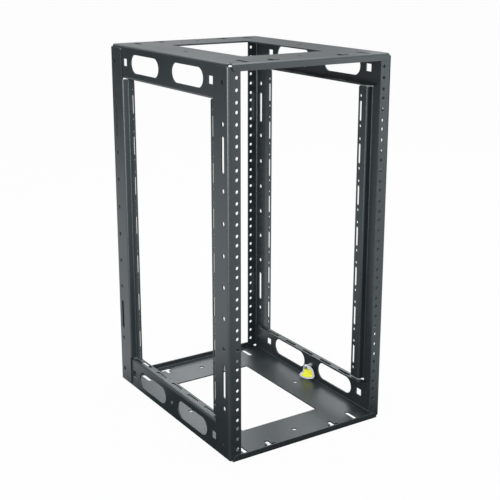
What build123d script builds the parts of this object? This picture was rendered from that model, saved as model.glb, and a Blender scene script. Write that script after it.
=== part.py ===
"""Open-frame server rack: two folded pans joined by four folded corner posts.

Millimetres. The origin is on the floor under the middle of the rack, +X to the right seen from
the front, +Y to the back, +Z up. Front and rear posts carry rack holes at the standard pitch.
"""

import math
import os

from build123d import *

# Rack spacing
rack_unit = 44.45
rack_units = 12
rack_hole_heights = (6.35, 22.225, 38.1)  # the three holes of one rack unit
rack_hole_diameter = 5.2
rack_hole_inset = 13.7  # side face of a post to the line of its rack holes

# Whole frame
frame_height = 557.0
posts_width = 271.0  # over the side faces of the posts
posts_depth = 343.4  # over the rack flanges of the posts

# Sheet
sheet = 1.9
fold_radius = 1.6  # inside a fold
post_fold_radius = 2.6  # inside the fold of a rack flange

# Small holes that repeat are cut with few sides, to keep the model light
hole_sides = 8
window_sides = 20
strip_hole_sides = 6

# Posts
post_end_gap = 4.0  # end of a post to the outer face of a pan
rack_flange_width = 19.3
web_depth = 39.1  # rack flange to the jog
jog_depth = 8.9  # how far the strip stands inside the web
jog_slant = 2.2
strip_width = 16.8
strip_end_gap = 1.5  # end of a strip to the pan's return
post_corner_radius = 5.0
strip_corner_radius = 3.0

# Holes in the posts
web_hole_diameter = 7.0
web_hole_inset = 13.9  # rack flange to the line of the web holes
web_hole_rows = (0.5, 1.5, 2.5, 4.5)  # in rack units from mid-height
web_slot_length = 49.5
web_slot_width = 7.0
web_slot_height = 159.5  # from mid-height
strip_hole_inset = 4.6  # strip's free edge to the line of its holes
strip_pitch = 63.5
strip_sets = 7
strip_hole_diameter = 5.0
strip_slot_length = 30.0
strip_slot_width = 5.2

# Pans
side_flange_height = 49.5
side_flange_end_gap = 6.5  # end of a side flange to the lip's outer face
lip_height = 10.0
lip_end_gap = 4.5  # end of a lip to the side flange's outer face
return_width = 13.7
return_end_gap = 34.6  # end of a return to the lip's outer face
return_corner_cut = 4.0
lip_corner_cut = 3.0
cutout_width = 136.4
cutout_depth = 200.8

# Holes in the side flanges
window_length = 87.5
window_height = 27.5
window_spacing = 125.4
square_width = 12.0
square_height = 11.0
square_spacing = 251.2
ground_hole_diameter = 6.6
return_slot_length = 28.0
return_slot_width = 4.5
return_slot_inset = 4.2  # return's free edge to the line of its slots
return_slot_pitch = 49.0
return_slots = 5

# Holes in the flat of a pan
flat_hole_diameter = 7.5
flat_hole_spacing_x = 199.6
flat_hole_spacing_y = 275.2
flat_slot_length = 28.5
flat_slot_width = 7.0
flat_slot_spacing_x = 200.0
flat_slot_spacing_y = 298.0
keyhole_spacing_x = 115.0
keyhole_spacing_y = 291.6
keyhole_length = 17.6
keyhole_neck_length = 9.5
keyhole_neck_width = 6.5
keyhole_head_length = 5.1
keyhole_head_width = 14.0
cross_slot_spacing_y = 318.2
cross_slot_length = 20.6
cross_slot_width = 5.6

# Ground stud, its nut and its tag
stud_diameter = 4.0
stud_reach = 12.4  # inner face of the side flange to the stud's end
stud_head_diameter = 8.0
stud_head_thickness = 1.2
nut_flats = 7.0
nut_thickness = 2.6
nut_clearance = 0.2
tag_clearance = 0.02  # over the stud
tag_width = 28.2
tag_height = 25.4
tag_sheet = 0.6
tag_hole_diameter = 5.6
tag_turn = 25.0
tag_reach = 10.6  # inner face of the side flange to the tag, along the stud
# Tag's corners from the middle of its hole, across in tag widths and up in tag heights
tag_shape = (
    (0.067, 0.153),
    (-0.053, 0.149),
    (-0.138, 0.067),
    (-0.156, -0.056),
    (-0.177, -0.243),
    (-0.216, -0.392),
    (-0.358, -0.526),
    (-0.422, -0.675),
    (-0.372, -0.762),
    (-0.230, -0.820),
    (-0.050, -0.847),
    (0.191, -0.832),
    (0.429, -0.754),
    (0.578, -0.608),
    (0.571, -0.437),
    (0.546, -0.272),
    (0.479, -0.112),
    (0.387, 0.011),
    (0.227, 0.123),
)

# Places worked out from the sizes above
pan_half_width = posts_width / 2 - sheet
pan_half_depth = posts_depth / 2 + sheet
mid_height = frame_height / 2
post_length = frame_height - 2 * post_end_gap
strip_trim = side_flange_height + strip_end_gap - post_end_gap
rack_hole_x = posts_width / 2 - rack_hole_inset
rack_bottom = mid_height - rack_units * rack_unit / 2
web_edge_y = posts_depth / 2 - web_depth
web_hole_y = posts_depth / 2 - web_hole_inset
strip_x = posts_width / 2 - jog_depth
strip_start_y = web_edge_y - jog_slant
strip_end_y = strip_start_y - strip_width
strip_hole_y = strip_end_y + strip_hole_inset
web_end_y = web_edge_y + 0.8 * (fold_radius + sheet)
fold_outside = fold_radius + sheet
side_flange_length = 2 * (pan_half_depth - side_flange_end_gap)
lip_length = 2 * (pan_half_width - lip_end_gap)
return_length = 2 * (pan_half_depth - return_end_gap)
return_slot_x = pan_half_width - return_width + return_slot_inset
flange_mid_height = side_flange_height / 2
rack_hole_rows = [
    rack_bottom + unit * rack_unit + height
    for unit in range(rack_units)
    for height in rack_hole_heights
]
web_hole_heights = [side * row * rack_unit for side in (-1, 1) for row in web_hole_rows]
web_end_hole_height = mid_height - flange_mid_height
flange_inside_x = pan_half_width - sheet

fixing_hole_rows = [rack_hole_rows[0], rack_hole_rows[2]]

os.makedirs("parts", exist_ok=True)


def light_hole(diameter, sides=hole_sides):
    """Round hole with few sides, as wide across its corners as the real one."""
    RegularPolygon(diameter / 2, sides)


def light_slot(length, width, sides=hole_sides, turn=0):
    """Upright slot with few sides to its two rounded ends."""
    corner_radius = width / 2 / math.cos(math.pi / sides)
    corners = []
    for side in range(sides):
        angle = (side + 0.5) * 2 * math.pi / sides
        end_middle = math.copysign((length - width) / 2, math.sin(angle))
        corner_y = end_middle + corner_radius * math.sin(angle)
        corners.append((corner_radius * math.cos(angle), corner_y))
    Polygon(*corners, rotation=turn)


def keyhole(turn):
    """Narrow neck that widens into a square-ended head."""
    head_start = keyhole_length - keyhole_head_length
    neck = [(-keyhole_neck_width / 2, 0), (keyhole_neck_width / 2, 0)]
    right = [(keyhole_neck_width / 2, keyhole_neck_length), (keyhole_head_width / 2, head_start)]
    head = [(keyhole_head_width / 2, keyhole_length), (-keyhole_head_width / 2, keyhole_length)]
    left = [(-keyhole_head_width / 2, head_start), (-keyhole_neck_width / 2, keyhole_neck_length)]
    Polygon(*neck, *right, *head, *left, rotation=turn)


with BuildPart() as bottom_pan:
    # Side flanges with their returns, folded up from the flat
    with BuildSketch(Plane.XZ.offset(side_flange_length / 2)):
        with BuildLine():
            FilletPolyline(
                (return_width - pan_half_width, side_flange_height),
                (-pan_half_width, side_flange_height),
                (-pan_half_width, 0),
                (pan_half_width, 0),
                (pan_half_width, side_flange_height),
                (pan_half_width - return_width, side_flange_height),
                radius=fold_outside,
            )
            offset(amount=sheet, side=Side.LEFT)
        make_face()
    extrude(amount=-side_flange_length)
    # Front and rear lips
    with BuildSketch(Plane.YZ.offset(-lip_length / 2)):
        with BuildLine():
            FilletPolyline(
                (-pan_half_depth, lip_height),
                (-pan_half_depth, 0),
                (pan_half_depth, 0),
                (pan_half_depth, lip_height),
                radius=fold_outside,
            )
            offset(amount=sheet, side=Side.LEFT)
        make_face()
    extrude(amount=lip_length)
    chamfer(
        bottom_pan.edges()
        .filter_by(Axis.Y)
        .filter_by_position(Axis.Z, lip_height - sheet / 2, lip_height + sheet / 2),
        lip_corner_cut,
    )
    # Returns stop short of the posts
    with GridLocations(0, side_flange_length, 1, 2):
        with Locations((0, 0, side_flange_height)):
            Box(
                2 * pan_half_width,
                side_flange_length - return_length,
                2 * fold_outside,
                mode=Mode.SUBTRACT,
            )
    chamfer(
        bottom_pan.edges()
        .filter_by(Axis.Z)
        .filter_by(lambda edge: abs(edge.center().X) < pan_half_width - return_width + 0.1)
        .filter_by(lambda edge: edge.center().Z > side_flange_height - sheet),
        return_corner_cut,
    )
    # Flat: central cut-out and holes
    with BuildSketch():
        Rectangle(cutout_width, cutout_depth)
        with GridLocations(flat_hole_spacing_x, 0, 2, 1):
            light_hole(flat_hole_diameter)
        with GridLocations(0, flat_hole_spacing_y, 1, 2):
            light_hole(flat_hole_diameter)
        with GridLocations(flat_slot_spacing_x, flat_slot_spacing_y, 2, 2):
            light_slot(flat_slot_length, flat_slot_width)
        with GridLocations(keyhole_spacing_x, cross_slot_spacing_y, 2, 2):
            light_slot(cross_slot_length, cross_slot_width, turn=90)
        for side, turn in ((1, 0), (-1, 180)):
            with Locations((0, side * keyhole_spacing_y / 2)):
                with GridLocations(keyhole_spacing_x, 0, 2, 1):
                    keyhole(turn)
    extrude(amount=sheet, mode=Mode.SUBTRACT)
    # Side flanges: windows and squares
    with BuildSketch(Plane.YZ.offset(-pan_half_width)):
        with Locations((0, flange_mid_height)):
            with GridLocations(window_spacing, 0, 2, 1):
                light_slot(window_length, window_height, window_sides, turn=90)
            with GridLocations(square_spacing, 0, 2, 1):
                Rectangle(square_width, square_height)
    extrude(amount=2 * pan_half_width, mode=Mode.SUBTRACT)
    # Returns: slots
    with BuildSketch(Plane.XY.offset(side_flange_height - sheet)):
        with GridLocations(2 * return_slot_x, return_slot_pitch, 2, return_slots):
            light_slot(return_slot_length, return_slot_width)
    extrude(amount=sheet, mode=Mode.SUBTRACT)

with BuildPart() as top_pan:
    mirror(bottom_pan.part, about=Plane.XY.offset(mid_height))
top_pan.part.label = "top_pan"
export_step(top_pan.part, "parts/top_pan.step")

# Only the bottom pan has holes for a ground stud
with bottom_pan:
    with BuildSketch(Plane.YZ.offset(-pan_half_width)):
        with Locations((0, flange_mid_height)):
            light_hole(ground_hole_diameter)
    extrude(amount=2 * pan_half_width, mode=Mode.SUBTRACT)
bottom_pan.part.label = "bottom_pan"
export_step(bottom_pan.part, "parts/bottom_pan.step")

with BuildPart() as post_front_left:
    # Rack flange, web, jog and strip: one folded section
    with BuildSketch(Plane.XY.offset(post_end_gap)):
        with BuildLine():
            FilletPolyline(
                (rack_flange_width - posts_width / 2, -posts_depth / 2),
                (-posts_width / 2, -posts_depth / 2),
                (-posts_width / 2, -web_edge_y),
                (-strip_x, -strip_start_y),
                (-strip_x, -strip_end_y),
                radius=[post_fold_radius + sheet, fold_outside, fold_radius],
            )
            offset(amount=sheet, side=Side.RIGHT)
        make_face()
    extrude(amount=post_length)
    # Strip stops short of the pans, and the web goes on alone
    with Locations((-strip_x, -strip_end_y, mid_height)):
        with Locations((0, 0, post_length / 2), (0, 0, -post_length / 2)):
            Box(
                4 * jog_depth,
                2 * (web_end_y - strip_end_y),
                2 * strip_trim,
                mode=Mode.SUBTRACT,
            )
    fillet(
        post_front_left.edges()
        .filter_by(Axis.X)
        .filter_by_position(Axis.Y, -web_end_y - 0.1, -web_end_y + 0.1)
        .filter_by(lambda edge: abs(edge.center().Z - mid_height) > post_length / 2 - 0.1),
        post_corner_radius,
    )
    fillet(
        post_front_left.edges()
        .filter_by(Axis.X)
        .filter_by_position(Axis.Y, -strip_end_y - 0.1, -strip_end_y + 0.1),
        strip_corner_radius,
    )
    # Rack flange: rack holes, truly round where the lowest unit is fixed
    with BuildSketch(Plane.XZ.offset(posts_depth / 2)):
        with Locations(*[(-rack_hole_x, height) for height in rack_hole_rows]):
            light_hole(rack_hole_diameter)
        with Locations(*[(-rack_hole_x, height) for height in fixing_hole_rows]):
            Circle(rack_hole_diameter / 2)
    extrude(amount=-sheet, mode=Mode.SUBTRACT)
    # Web: round holes, and two upright slots
    with BuildSketch(Plane.YZ.offset(-posts_width / 2)):
        with Locations((-web_hole_y, mid_height)):
            with Locations(*[(0, height) for height in web_hole_heights]):
                light_hole(web_hole_diameter)
            with GridLocations(0, 2 * web_end_hole_height, 1, 2):
                light_hole(web_hole_diameter)
            with GridLocations(0, 2 * web_slot_height, 1, 2):
                light_slot(web_slot_length, web_slot_width)
    extrude(amount=sheet, mode=Mode.SUBTRACT)
    # Strip: slots, each between two small holes
    with BuildSketch(Plane.YZ.offset(-strip_x)):
        with Locations((-strip_hole_y, mid_height)):
            with GridLocations(0, strip_pitch, 1, strip_sets):
                light_slot(strip_slot_length, strip_slot_width)
                with GridLocations(0, rack_unit, 1, 2):
                    light_hole(strip_hole_diameter, strip_hole_sides)
    extrude(amount=sheet, mode=Mode.SUBTRACT)
post_front_left.part.label = "post_front_left"
export_step(post_front_left.part, "parts/post_front_left.step")

with BuildPart() as post_front_right:
    mirror(post_front_left.part, about=Plane.YZ)
post_front_right.part.label = "post_front_right"
export_step(post_front_right.part, "parts/post_front_right.step")

with BuildPart() as post_rear_left:
    mirror(post_front_left.part, about=Plane.XZ)
post_rear_left.part.label = "post_rear_left"
export_step(post_rear_left.part, "parts/post_rear_left.step")

with BuildPart() as post_rear_right:
    mirror(post_front_right.part, about=Plane.XZ)
post_rear_right.part.label = "post_rear_right"
export_step(post_rear_right.part, "parts/post_rear_right.step")

with BuildPart() as ground_stud:
    # Low head outside the right side flange, shank pointing inwards
    with BuildSketch(Plane.YZ.offset(pan_half_width)):
        with Locations((0, flange_mid_height)):
            RegularPolygon(stud_head_diameter / 2, 2 * hole_sides)
    extrude(amount=stud_head_thickness)
    with BuildSketch(Plane.YZ.offset(pan_half_width)):
        with Locations((0, flange_mid_height)):
            RegularPolygon(stud_diameter / 2, 2 * hole_sides)
    extrude(amount=-(sheet + stud_reach))
    chamfer(ground_stud.faces().sort_by(Axis.X)[0].edges(), stud_diameter / 10)
ground_stud.part.label = "ground_stud"
export_step(ground_stud.part, "parts/ground_stud.step")

with BuildPart() as ground_nut:
    with BuildSketch(Plane.YZ.offset(flange_inside_x)):
        with Locations((0, flange_mid_height)):
            RegularPolygon(nut_flats / 2, 6, major_radius=False)
            RegularPolygon((stud_diameter + nut_clearance) / 2, 2 * hole_sides, mode=Mode.SUBTRACT)
    extrude(amount=-nut_thickness)
ground_nut.part.label = "ground_nut"
export_step(ground_nut.part, "parts/ground_nut.step")

with BuildPart() as ground_tag:
    # Rounded tag hanging on the end of the stud, turned a little to the front
    hang_height = flange_mid_height + tag_clearance + (stud_diameter - tag_hole_diameter) / 2
    tag_plane = Plane(
        origin=(flange_inside_x - tag_reach, 0, hang_height),
        x_dir=Vector(0, -1, 0).rotate(Axis.Z, tag_turn),
        z_dir=Vector(-1, 0, 0).rotate(Axis.Z, tag_turn),
    )
    with BuildSketch(tag_plane):
        with BuildLine():
            Polyline(*[(x * tag_width, y * tag_height) for x, y in tag_shape], close=True)
        make_face()
        RegularPolygon(tag_hole_diameter / 2, 2 * hole_sides, rotation=90, mode=Mode.SUBTRACT)
    extrude(amount=tag_sheet / 2, both=True)
ground_tag.part.label = "ground_tag"
export_step(ground_tag.part, "parts/ground_tag.step")
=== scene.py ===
import math

import bmesh
import bpy
from mathutils import Euler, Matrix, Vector


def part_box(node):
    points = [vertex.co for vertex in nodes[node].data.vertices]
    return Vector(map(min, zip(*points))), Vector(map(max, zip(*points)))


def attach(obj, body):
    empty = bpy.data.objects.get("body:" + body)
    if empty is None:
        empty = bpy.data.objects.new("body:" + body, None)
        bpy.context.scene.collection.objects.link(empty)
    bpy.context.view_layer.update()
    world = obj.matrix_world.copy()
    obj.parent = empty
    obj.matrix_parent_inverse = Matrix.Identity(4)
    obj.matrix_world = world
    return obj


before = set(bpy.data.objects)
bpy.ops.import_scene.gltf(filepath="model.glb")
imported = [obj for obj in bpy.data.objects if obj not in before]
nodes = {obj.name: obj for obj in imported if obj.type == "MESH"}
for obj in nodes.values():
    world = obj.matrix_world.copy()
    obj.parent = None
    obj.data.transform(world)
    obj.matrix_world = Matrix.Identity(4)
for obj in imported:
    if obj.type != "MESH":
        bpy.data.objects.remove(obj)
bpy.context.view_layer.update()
print("frame loaded:", len(nodes), "pieces")

# Camera: in front of the rack, to its left, a little above its top
camera = {
    "place": (-0.7991, -1.2455, 0.6946),
    "turn": 32.81,  # degrees to the right of straight ahead
    "tip": -15.10,  # degrees, below zero looking down
    "lens": 71.85,
    "shift": (0.0063, -0.060),
}


def makeCamera():
    data = bpy.data.cameras.new("studioCamera")
    data.lens = camera["lens"]
    data.shift_x, data.shift_y = camera["shift"]
    studioCamera = bpy.data.objects.new("studioCamera", data)
    studioCamera.location = camera["place"]
    studioCamera.rotation_euler = Euler(
        (math.radians(90 + camera["tip"]), 0, math.radians(-camera["turn"]))
    )
    bpy.context.scene.collection.objects.link(studioCamera)
    bpy.context.scene.camera = studioCamera
    bpy.context.scene.view_settings.view_transform = "Standard"


makeCamera()
print("camera placed")


def newMaterial(name):
    material = bpy.data.materials.new(name)
    material.use_nodes = True
    tree = material.node_tree
    coordinates = tree.nodes.new("ShaderNodeTexCoord").outputs["Object"]
    return material, tree, tree.nodes["Principled BSDF"], coordinates


# A map from low..high to fromValue..toValue, held at both ends
def ramp(tree, source, low, high, fromValue, toValue):
    mapRange = tree.nodes.new("ShaderNodeMapRange")
    mapRange.inputs["From Min"].default_value = low
    mapRange.inputs["From Max"].default_value = high
    mapRange.inputs["To Min"].default_value = fromValue
    mapRange.inputs["To Max"].default_value = toValue
    tree.links.new(source, mapRange.inputs["Value"])
    return mapRange.outputs["Result"]


def noiseAt(tree, coordinates, scale, detail):
    noise = tree.nodes.new("ShaderNodeTexNoise")
    noise.inputs["Scale"].default_value = scale
    noise.inputs["Detail"].default_value = detail
    noise.inputs["Roughness"].default_value = 0.55
    tree.links.new(coordinates, noise.inputs["Vector"])
    return noise.outputs["Fac"]


def mixColour(tree, factor, first, second):
    mix = tree.nodes.new("ShaderNodeMix")
    mix.data_type = "RGBA"
    tree.links.new(factor, mix.inputs["Factor"])
    for socket, colour in ((mix.inputs["A"], first), (mix.inputs["B"], second)):
        if isinstance(colour, tuple):
            socket.default_value = (*colour, 1)
        else:
            tree.links.new(colour, socket)
    return mix.outputs["Result"]


def combine(tree, operation, first, second):
    maths = tree.nodes.new("ShaderNodeMath")
    maths.operation = operation
    tree.links.new(first, maths.inputs[0])
    tree.links.new(second, maths.inputs[1])
    return maths.outputs[0]


# A distance from a point, or a dot product with a direction
def measureFrom(tree, operation, source, fixed):
    measure = tree.nodes.new("ShaderNodeVectorMath")
    measure.operation = operation
    measure.inputs[1].default_value = fixed
    tree.links.new(source, measure.inputs[0])
    return measure.outputs["Value"]


def addBump(tree, shader, height, strength, depth, roundedNormal=None):
    bump = tree.nodes.new("ShaderNodeBump")
    bump.inputs["Strength"].default_value = strength
    bump.inputs["Distance"].default_value = depth
    tree.links.new(height, bump.inputs["Height"])
    if roundedNormal:
        tree.links.new(roundedNormal, bump.inputs["Normal"])
    tree.links.new(bump.outputs["Normal"], shader.inputs["Normal"])


# Powder coat: near black and faintly cool, fine orange peel, satin, with a painted highlight along its
# edges
powderCoat = {
    "colour": (0.0105, 0.0138, 0.0152),
    "patchColour": (0.0130, 0.0165, 0.0182),
    "patchScale": 7,
    "patchDetail": 4,
    "patchSpread": (0.3, 0.7),  # noise values at which a patch begins and is full
    "roughness": (0.34, 0.42),
    "sheenLevel": 0.74,
    "sheenTint": (0.84, 0.96, 1.0),
    "grain": 1500,  # bumps over a metre
    "grainDetail": 2,
    "grainDepth": 0.00006,
    "grainStrength": 0.35,
    "edgeHighlightColour": (0.045, 0.052, 0.057),
    "edgeRadius": 0.0005,
    "edgeSamples": 6,
    "edgeTurn": (1.0, 0.75),  # cosines between flat and rounded, on a flat and on an edge
}


# 0 on flats and 1 on sharp edges, which marks the painted edge highlight, with the rounded normal beside it
def edgeMask(tree):
    rounded = tree.nodes.new("ShaderNodeBevel")
    rounded.samples = powderCoat["edgeSamples"]
    rounded.inputs["Radius"].default_value = powderCoat["edgeRadius"]
    roundedNormal = rounded.outputs["Normal"]
    flat = tree.nodes.new("ShaderNodeNewGeometry")
    turn = tree.nodes.new("ShaderNodeVectorMath")
    turn.operation = "DOT_PRODUCT"
    tree.links.new(roundedNormal, turn.inputs[0])
    tree.links.new(flat.outputs["Normal"], turn.inputs[1])
    return ramp(tree, turn.outputs["Value"], *powderCoat["edgeTurn"], 0, 1), roundedNormal


def makePowderCoat():
    material, tree, shader, coordinates = newMaterial("blackPowderCoat")
    patches = noiseAt(tree, coordinates, powderCoat["patchScale"], powderCoat["patchDetail"])
    grain = noiseAt(tree, coordinates, powderCoat["grain"], powderCoat["grainDetail"])
    edge, roundedNormal = edgeMask(tree)
    spread = ramp(tree, patches, *powderCoat["patchSpread"], 0, 1)
    body = mixColour(tree, spread, powderCoat["colour"], powderCoat["patchColour"])
    # Painted highlight: the edges are mixed to a paler colour
    paintedEdgeHighlight = mixColour(tree, edge, body, powderCoat["edgeHighlightColour"])
    tree.links.new(paintedEdgeHighlight, shader.inputs["Base Color"])
    shader.inputs["Specular IOR Level"].default_value = powderCoat["sheenLevel"]
    shader.inputs["Specular Tint"].default_value = (*powderCoat["sheenTint"], 1)
    satin = ramp(tree, patches, *powderCoat["patchSpread"], *powderCoat["roughness"])
    tree.links.new(satin, shader.inputs["Roughness"])
    addBump(tree, shader, grain, powderCoat["grainStrength"], powderCoat["grainDepth"], roundedNormal)
    return material


# Bright zinc plate on the ground stud and its nut
zincPlate = {
    "colour": (0.78, 0.79, 0.80),
    "dullColour": (0.60, 0.61, 0.62),
    "patchScale": 260,
    "patchDetail": 5,
    "patchSpread": (0.35, 0.65),
    "roughness": (0.30, 0.48),
    "metallic": 0.72,
    "bumpStrength": 0.8,
    "patchDepth": 0.000025,
    "threadPitch": 0.0008,
    "threadDepth": 0.00025,
}
bandsPerMetre = 3.2  # bands of a Wave texture at a scale of 1


def makeZinc(name, threaded):
    material, tree, shader, coordinates = newMaterial(name)
    dullness = noiseAt(tree, coordinates, zincPlate["patchScale"], zincPlate["patchDetail"])
    patches = ramp(tree, dullness, *zincPlate["patchSpread"], 0, 1)
    plate = mixColour(tree, patches, zincPlate["colour"], zincPlate["dullColour"])
    tree.links.new(plate, shader.inputs["Base Color"])
    shader.inputs["Metallic"].default_value = zincPlate["metallic"]
    tree.links.new(ramp(tree, patches, 0, 1, *zincPlate["roughness"]), shader.inputs["Roughness"])
    height = patches
    depth = zincPlate["patchDepth"]
    if threaded:
        thread = tree.nodes.new("ShaderNodeTexWave")
        thread.wave_type = "BANDS"
        thread.bands_direction = "X"
        thread.inputs["Scale"].default_value = 1 / zincPlate["threadPitch"] / bandsPerMetre
        tree.links.new(coordinates, thread.inputs["Vector"])
        height = thread.outputs["Fac"]
        depth = zincPlate["threadDepth"]
    addBump(tree, shader, height, zincPlate["bumpStrength"], depth)
    return material


# Tag: pale board with a plain yellow field
tag = {
    "board": (0.60, 0.61, 0.70),
    "field": (0.93, 0.92, 0.045),
    "fieldFaded": (0.86, 0.90, 0.070),
    "mottleScale": 260,
    "mottleDetail": 3,
    "mottleSpread": (0.35, 0.65),
    "roughness": 0.38,
    "bumpStrength": 0.2,
    "bumpDepth": 0.00005,
    "borderWidth": 0.0029,
    "holeZone": 0.0048,  # top of the tag that the field leaves bare
    "cornerRadius": 0.0016,
    "cornerSegments": 3,
    "filmLift": 0.00002,
    "filmThickness": 0.00012,
}


def makeTagPlastic(name, colour, fadedColour=None):
    material, tree, shader, coordinates = newMaterial(name)
    speckle = noiseAt(tree, coordinates, tag["mottleScale"], tag["mottleDetail"])
    mottle = ramp(tree, speckle, *tag["mottleSpread"], 0, 1)
    if fadedColour:
        tree.links.new(mixColour(tree, mottle, colour, fadedColour), shader.inputs["Base Color"])
    else:
        shader.inputs["Base Color"].default_value = (*colour, 1)
    shader.inputs["Roughness"].default_value = tag["roughness"]
    addBump(tree, shader, mottle, tag["bumpStrength"], tag["bumpDepth"])
    return material


def dress(node, material):
    mesh = nodes[node].data
    mesh.materials.clear()
    mesh.materials.append(material)


paintedSheets = [
    "bottom_pan",
    "top_pan",
    "post_front_left",
    "post_front_right",
    "post_rear_left",
    "post_rear_right",
]
paint = makePowderCoat()
for sheet in paintedSheets:
    dress(sheet, paint)
dress("ground_stud", makeZinc("zincThread", True))
dress("ground_nut", makeZinc("zincNut", False))
dress("ground_tag", makeTagPlastic("tagBoard", tag["board"]))
print("materials made")


# One face of the tag, cut off under its hole, drawn in by the border, rounded and given a thickness
def makeFilm(board, side, cutHeight):
    film = bmesh.new()
    film.from_mesh(board)
    bmesh.ops.remove_doubles(film, verts=film.verts, dist=1e-6)
    others = [face for face in film.faces if face.normal.dot(side) < 0.99]
    bmesh.ops.delete(film, geom=others, context="FACES")
    everything = film.verts[:] + film.edges[:] + film.faces[:]
    bmesh.ops.bisect_plane(
        film, geom=everything, plane_co=(0, 0, cutHeight), plane_no=(0, 0, 1), clear_outer=True
    )
    bmesh.ops.dissolve_faces(film, faces=film.faces[:])
    border = bmesh.ops.inset_individual(
        film, faces=film.faces[:], thickness=tag["borderWidth"], use_even_offset=True
    )["faces"]
    bmesh.ops.delete(film, geom=border, context="FACES")
    bmesh.ops.bevel(
        film,
        geom=film.verts[:],
        affect="VERTICES",
        offset=tag["cornerRadius"],
        segments=tag["cornerSegments"],
        profile=0.5,
        material=-1,
    )
    bmesh.ops.translate(film, verts=film.verts, vec=side * tag["filmLift"])
    raised = bmesh.ops.extrude_face_region(film, geom=film.faces[:])["geom"]
    raisedVerts = [item for item in raised if isinstance(item, bmesh.types.BMVert)]
    bmesh.ops.translate(film, verts=raisedVerts, vec=side * tag["filmThickness"])
    bmesh.ops.recalc_face_normals(film, faces=film.faces)
    mesh = bpy.data.meshes.new("film")
    film.to_mesh(mesh)
    film.free()
    return mesh


# Yellow field: one thin film on each side of the tag, inside a pale border
def makeTagField():
    board = nodes["ground_tag"].data
    facing = max(board.polygons, key=lambda face: face.area).normal.copy()
    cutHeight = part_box("ground_tag")[1][2] - tag["holeZone"]
    films = bmesh.new()
    for side in (facing, -facing):
        mesh = makeFilm(board, side, cutHeight)
        films.from_mesh(mesh)
        bpy.data.meshes.remove(mesh)
    data = bpy.data.meshes.new("tagField")
    films.to_mesh(data)
    films.free()
    data.materials.append(makeTagPlastic("tagField", tag["field"], tag["fieldFaded"]))
    field = bpy.data.objects.new("tag_field", data)
    bpy.context.scene.collection.objects.link(field)
    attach(field, "root")


makeTagField()
print("tag field made")

# Floor: white to the camera, pale in reflections, but with painted shade there close round the rack and far
# away
floor = {
    "size": 60.0,
    "colour": (0.30, 0.30, 0.30),
    "roughness": 0.9,
    "cameraWhite": 0.97,  # the rest is lit, and keeps the rack's shadow
    "paintedShadeCentre": (-0.15, -0.20, 0.0),
    "glossRise": (0.29, 0.43),  # metres from that centre, from painted shade to white
    "glossFall": (1.90, 3.00),  # and from white to painted shade
}


def makeFloor():
    mesh = bmesh.new()
    bmesh.ops.create_grid(mesh, x_segments=1, y_segments=1, size=floor["size"] / 2)
    data = bpy.data.meshes.new("studioFloor")
    mesh.to_mesh(data)
    mesh.free()
    plane = bpy.data.objects.new("studioFloor", data)
    bpy.context.scene.collection.objects.link(plane)
    material, tree, shader, coordinates = newMaterial("paleFloor")
    shader.inputs["Base Color"].default_value = (*floor["colour"], 1)
    shader.inputs["Roughness"].default_value = floor["roughness"]
    shader.inputs["Specular IOR Level"].default_value = 0
    # Painted shade in reflections: the floor glows dark near the rack and far off, and white between
    away = measureFrom(tree, "DISTANCE", coordinates, floor["paintedShadeCentre"])
    rise = ramp(tree, away, *floor["glossRise"], 0, 1)
    fall = ramp(tree, away, *floor["glossFall"], 1, 0)
    reflectedShade = combine(tree, "MULTIPLY", rise, fall)
    path = tree.nodes.new("ShaderNodeLightPath").outputs
    seen = combine(tree, "MAXIMUM", path["Is Camera Ray"], path["Is Transmission Ray"])
    glow = tree.nodes.new("ShaderNodeEmission")
    tree.links.new(mixColour(tree, seen, reflectedShade, (1, 1, 1)), glow.inputs["Color"])
    seenShare = ramp(tree, seen, 0, 1, 0, floor["cameraWhite"])
    mix = tree.nodes.new("ShaderNodeMixShader")
    tree.links.new(combine(tree, "MAXIMUM", seenShare, path["Is Glossy Ray"]), mix.inputs["Fac"])
    tree.links.new(shader.outputs["BSDF"], mix.inputs[1])
    tree.links.new(glow.outputs["Emission"], mix.inputs[2])
    tree.links.new(mix.outputs["Shader"], tree.nodes["Material Output"].inputs["Surface"])
    data.materials.append(material)


makeFloor()

# Room: white to the camera, pale in front and overhead, with a dark horizon behind the rack
room = {
    "horizon": 0.02,
    "behind": 0.48,
    "behindHeights": (0.17, 0.22),  # sines of the angles over the horizon
    "pale": 1.2,
    "paleHeights": (0.47, 0.53),
    "facing": (0.54, 0.84, 0.0),  # from the camera towards the rack
    "frontEdge": (0.1, 0.3),  # cosines from that direction, from the pale front to the rear
}


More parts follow.
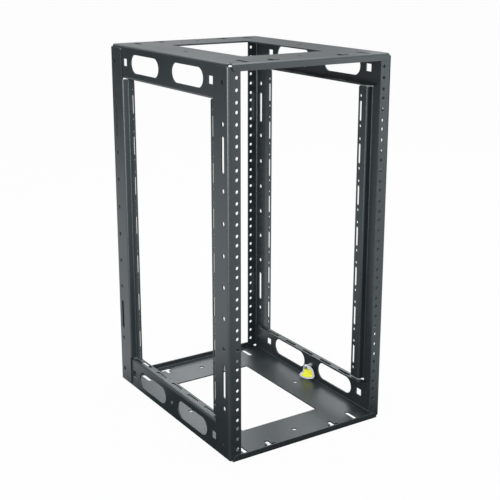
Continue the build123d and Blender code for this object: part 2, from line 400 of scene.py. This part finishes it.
def makeRoom():
    world = bpy.data.worlds.new("studioRoom")
    bpy.context.scene.world = world
    world.use_nodes = True
    tree = world.node_tree
    around = tree.nodes.new("ShaderNodeTexCoord").outputs["Generated"]
    height = tree.nodes.new("ShaderNodeSeparateXYZ")
    tree.links.new(around, height.inputs[0])
    low = ramp(tree, height.outputs["Z"], *room["behindHeights"], room["horizon"], room["behind"])
    high = ramp(tree, height.outputs["Z"], *room["paleHeights"], 0, room["pale"] - room["behind"])
    rear = combine(tree, "ADD", low, high)
    ahead = measureFrom(tree, "DOT_PRODUCT", around, room["facing"])
    front = ramp(tree, ahead, *room["frontEdge"], 1, 0)
    shaded = mixColour(tree, front, rear, (room["pale"],) * 3)
    path = tree.nodes.new("ShaderNodeLightPath").outputs
    seen = combine(tree, "MAXIMUM", path["Is Camera Ray"], path["Is Transmission Ray"])
    background = tree.nodes["Background"]
    tree.links.new(mixColour(tree, seen, shaded, (1, 1, 1)), background.inputs["Color"])
    background.inputs["Strength"].default_value = 1


makeRoom()

# Soft boxes: the low ones behind and on the left end below the rack's top, so it isn't glared on
lamps = [
    {"name": "overhead", "place": (0.0, 0.0, 2.4), "aim": (0, 0, 0.2), "size": 2.25, "power": 79},
    {"name": "rear", "place": (0.66, 1.56, 1.62), "aim": (0, 0, 0), "size": 0.5, "power": 3},
    {"name": "rearRight", "place": (1.78, 1.24, 0.92), "aim": (0, 0, 0.1), "size": 0.6, "power": 7},
    {"name": "rearLow", "place": (0.40, 0.82, 0.42), "aim": (-0.1, -0.05, 0), "size": 0.28, "power": 0.62},
    {"name": "rearLowRight", "place": (0.69, 0.66, 0.42), "aim": (0.12, 0, 0), "size": 0.24, "power": 0.26},
    {"name": "frontRight", "place": (1.6, -1.9, 0.42), "aim": (0, 0, 0.25), "size": 0.8, "power": 7},
    {"name": "front", "place": (-0.7, -2.2, 0.6), "aim": (0, 0, 0.25), "size": 0.9, "power": 7},
    {"name": "leftFront", "place": (-2.0, -0.8, 0.28), "aim": (0, 0, 0.28), "size": 0.5, "power": 15},
    {"name": "leftMiddle", "place": (-1.9, -0.3, 0.28), "aim": (0, 0, 0.28), "size": 0.5, "power": 9},
]
for lamp in lamps:
    light = bpy.data.lights.new(lamp["name"], "AREA")
    light.size = lamp["size"]
    light.energy = lamp["power"]
    lightObject = bpy.data.objects.new(lamp["name"], light)
    lightObject.location = lamp["place"]
    direction = Vector(lamp["aim"]) - Vector(lamp["place"])
    lightObject.rotation_euler = direction.to_track_quat("-Z", "Y").to_euler()
    bpy.context.scene.collection.objects.link(lightObject)
print("floor, room and lamps placed")
